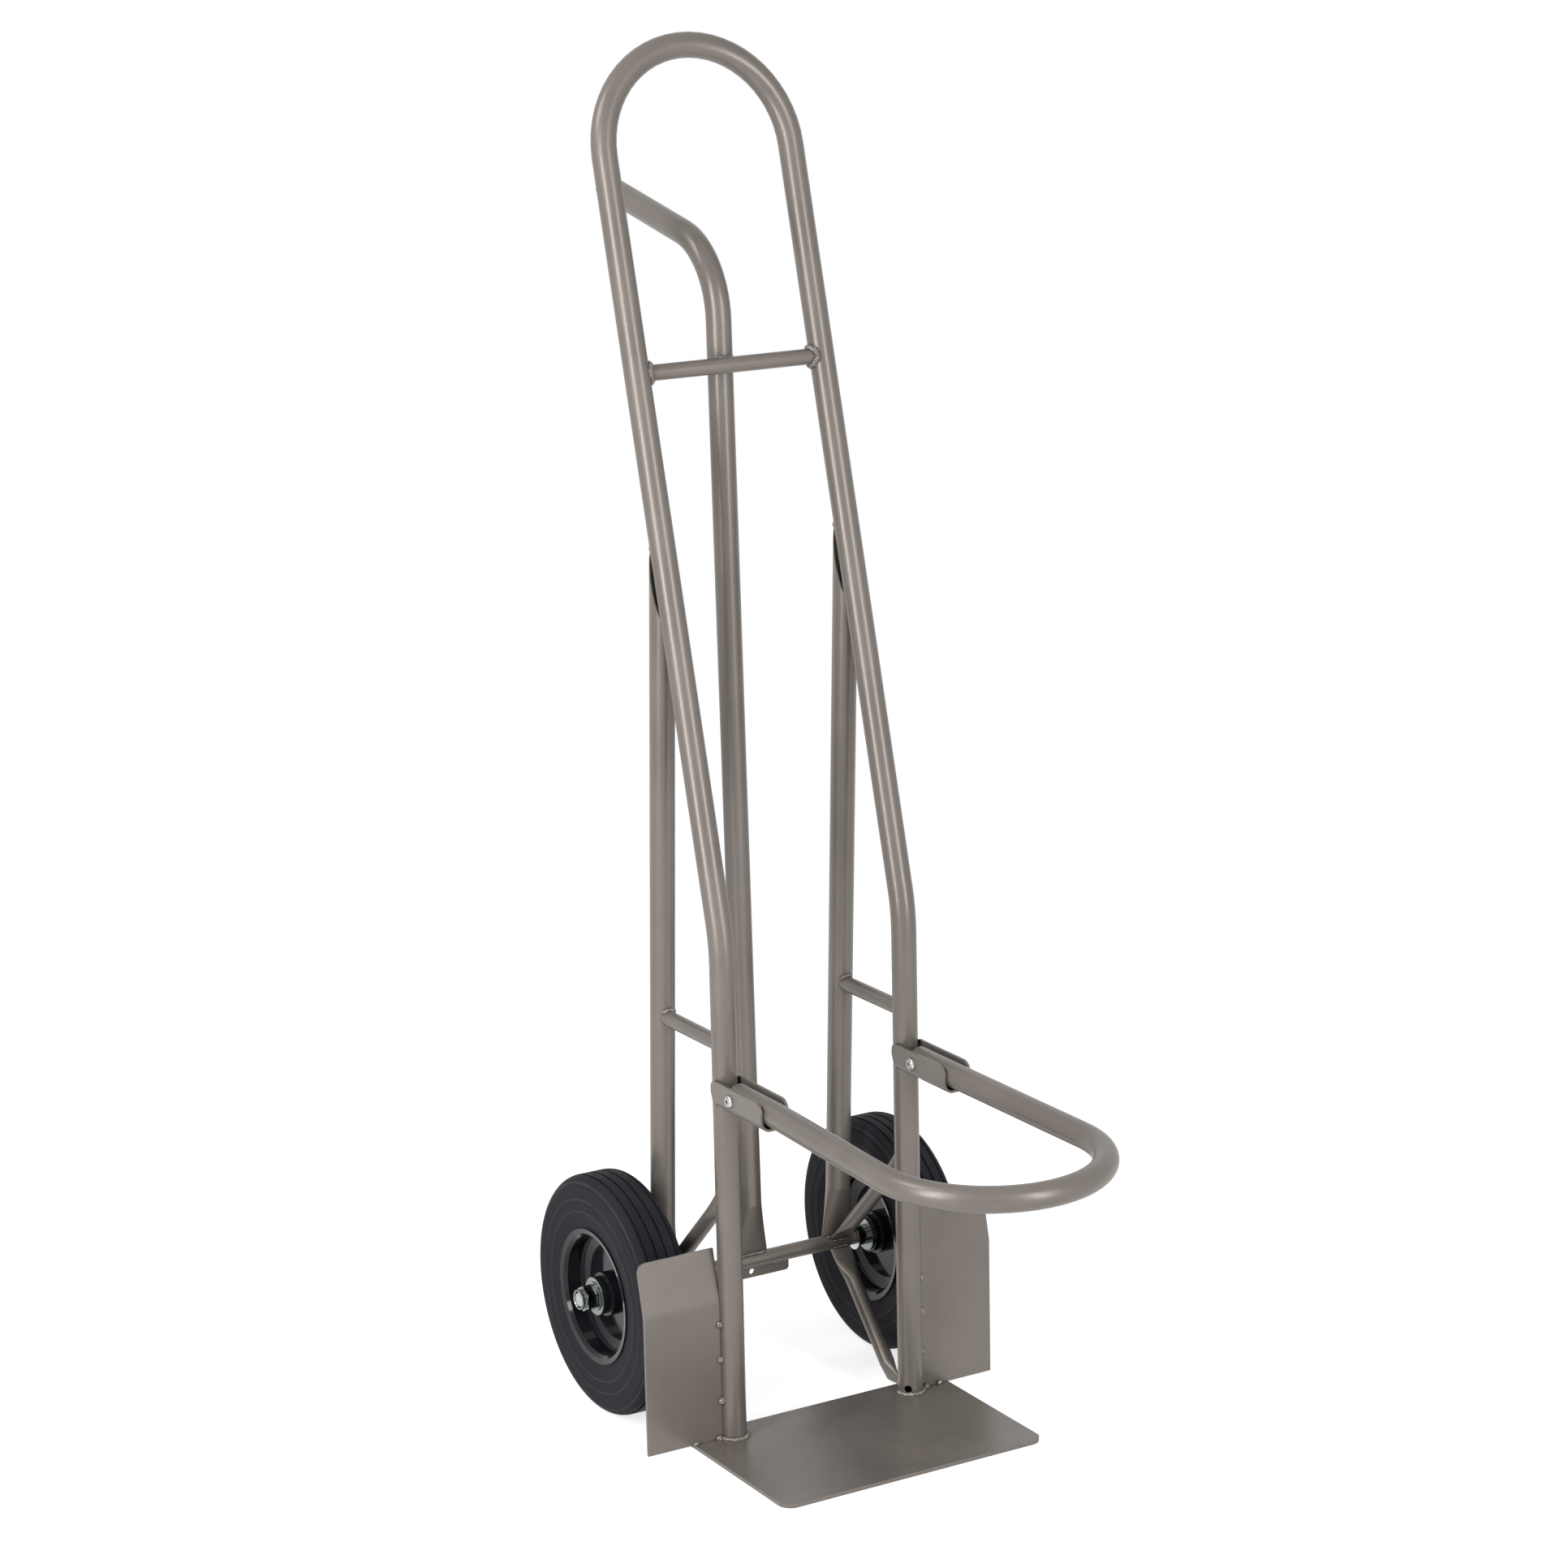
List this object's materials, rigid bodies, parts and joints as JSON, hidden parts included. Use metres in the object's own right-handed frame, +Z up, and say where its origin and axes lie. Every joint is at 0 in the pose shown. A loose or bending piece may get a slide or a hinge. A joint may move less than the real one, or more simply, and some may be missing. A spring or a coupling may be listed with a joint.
{
  "type": "chair stack dolly",
  "caption": "Upright two-wheeled truck for stacks of chairs: a bent tube hoop with a toe plate, a rear handle and a tube fork that folds up against the rails.",
  "frame": {"origin": "on the floor under the middle of the whole part's bounding box", "axes": "+X to the right seen from the handle, -Y towards the toe plate and fork, +Y towards the handle, +Z up"},
  "size_m": [0.406, 0.8147, 1.3744],
  "materials": {
    "frame_paint": "satin taupe-grey metallic enamel",
    "zinc": "bright zinc plate",
    "tyre_rubber": "matt black moulded rubber",
    "rim_paint": "gloss black enamel",
    "black_plastic": "moulded black plastic"
  },
  "bodies": {
    "frame": {"main_hoop": "frame_paint", "cross_bar": "frame_paint", "spine_handle": "frame_paint", "handle_end_plug": "black_plastic", "toe_plate": "frame_paint", "axle_rod": "frame_paint", "axle_tab": "frame_paint", "rear_upright_left": "frame_paint", "rear_upright_right": "frame_paint", "mid_brace_left": "frame_paint", "mid_brace_right": "frame_paint", "upper_strut_left": "frame_paint", "upper_strut_right": "frame_paint", "lower_strut_left": "frame_paint", "lower_strut_right": "frame_paint", "wing_plate_left": "frame_paint", "wing_plate_right": "frame_paint", "fork_bracket_left": "frame_paint", "fork_bracket_right": "frame_paint", "fork_bolt_left": "zinc", "fork_bolt_right": "zinc", "fork_nut_left": "zinc", "fork_nut_right": "zinc", "stop_washer_left": "zinc", "stop_washer_right": "zinc", "axle_spacer_left": "zinc", "axle_spacer_right": "zinc", "cup_washer_left": "zinc", "cup_washer_right": "zinc", "hub_washer_left": "zinc", "hub_washer_right": "zinc", "nut_washer_left": "zinc", "nut_washer_right": "zinc", "axle_nut_left": "zinc", "axle_nut_right": "zinc"},
    "fork": {"fork_loop": "frame_paint"},
    "wheel_left": {"tyre_left": "tyre_rubber", "rim_outer_left": "rim_paint", "rim_inner_left": "rim_paint", "hub_left": "rim_paint", "hub_bushings_left": "black_plastic"},
    "wheel_right": {"tyre_right": "tyre_rubber", "rim_outer_right": "rim_paint", "rim_inner_right": "rim_paint", "hub_right": "rim_paint", "hub_bushings_right": "black_plastic"}
  },
  "joints": [
    {"name": "fork_fold", "type": "hinge", "parent": "frame", "child": "fork", "pos_m": [0, -0.01572, 0.368], "axis": [-1, 0, 0], "range_deg": [0, 90]},
    {"name": "wheel_left_spin", "type": "hinge", "parent": "frame", "child": "wheel_left", "pos_m": [-0.1599, 0.16028, 0.124], "axis": [1, 0, 0], "continuous": true},
    {"name": "wheel_right_spin", "type": "hinge", "parent": "frame", "child": "wheel_right", "pos_m": [0.1599, 0.16028, 0.124], "axis": [1, 0, 0], "continuous": true}
  ]
}
